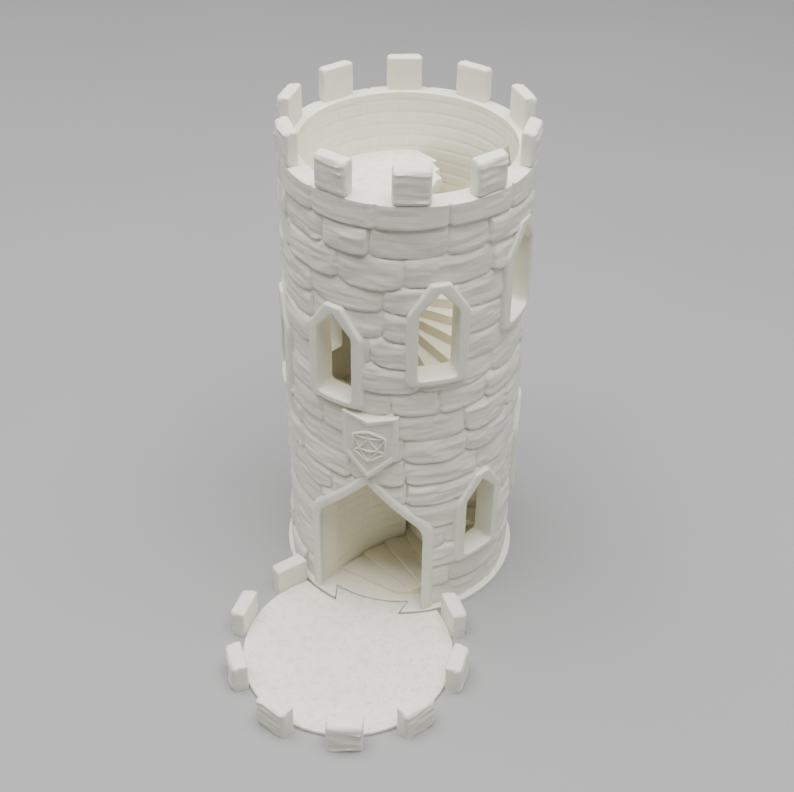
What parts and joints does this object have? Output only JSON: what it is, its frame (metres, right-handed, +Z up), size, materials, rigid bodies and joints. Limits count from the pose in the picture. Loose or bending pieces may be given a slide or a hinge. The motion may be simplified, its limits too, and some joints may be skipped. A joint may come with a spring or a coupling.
{
  "type": "dice tower",
  "caption": "Round stone-look castle tower with battlements, pointed windows and a doorway, a spiral stair inside that tumbles dice, and a round catch tray hooked onto its foot.",
  "frame": {"origin": "on the tower's axis, at the level of the table it stands on", "axes": "+Z up along the tower's axis, -Y out of the doorway towards the tray, +X to the right of someone who faces the doorway"},
  "size_m": [0.06, 0.1039, 0.1265],
  "materials": {
    "white_pla": "matte, printed in fine layers"
  },
  "bodies": {
    "tower": {"foot_plate": "white_pla", "tower_wall": "white_pla", "tower_merlon_01": "white_pla", "tower_merlon_02": "white_pla", "tower_merlon_03": "white_pla", "tower_merlon_04": "white_pla", "tower_merlon_05": "white_pla", "tower_merlon_06": "white_pla", "tower_merlon_07": "white_pla", "tower_merlon_08": "white_pla", "tower_merlon_09": "white_pla", "tower_merlon_10": "white_pla", "door_surround": "white_pla", "window_surround_01": "white_pla", "window_surround_02": "white_pla", "window_surround_03": "white_pla", "window_surround_04": "white_pla", "window_surround_05": "white_pla", "window_surround_06": "white_pla", "window_surround_07": "white_pla", "window_surround_08": "white_pla", "window_surround_09": "white_pla", "window_surround_10": "white_pla", "shield_plaque": "white_pla", "stair_newel": "white_pla", "lower_flight": "white_pla", "middle_flight": "white_pla", "upper_flight": "white_pla", "exit_steps": "white_pla", "stair_end_wall": "white_pla", "top_landing": "white_pla"},
    "tray": {"tray_plate": "white_pla", "tray_merlon_1": "white_pla", "tray_merlon_2": "white_pla", "tray_merlon_3": "white_pla", "tray_merlon_4": "white_pla", "tray_merlon_5": "white_pla", "tray_merlon_6": "white_pla", "tray_merlon_7": "white_pla", "tray_merlon_8": "white_pla"}
  },
  "joints": [
    {"name": "tray_lift", "type": "slide", "parent": "tower", "child": "tray", "axis": [0, 0, 1], "range_m": [0, 0.02]}
  ]
}
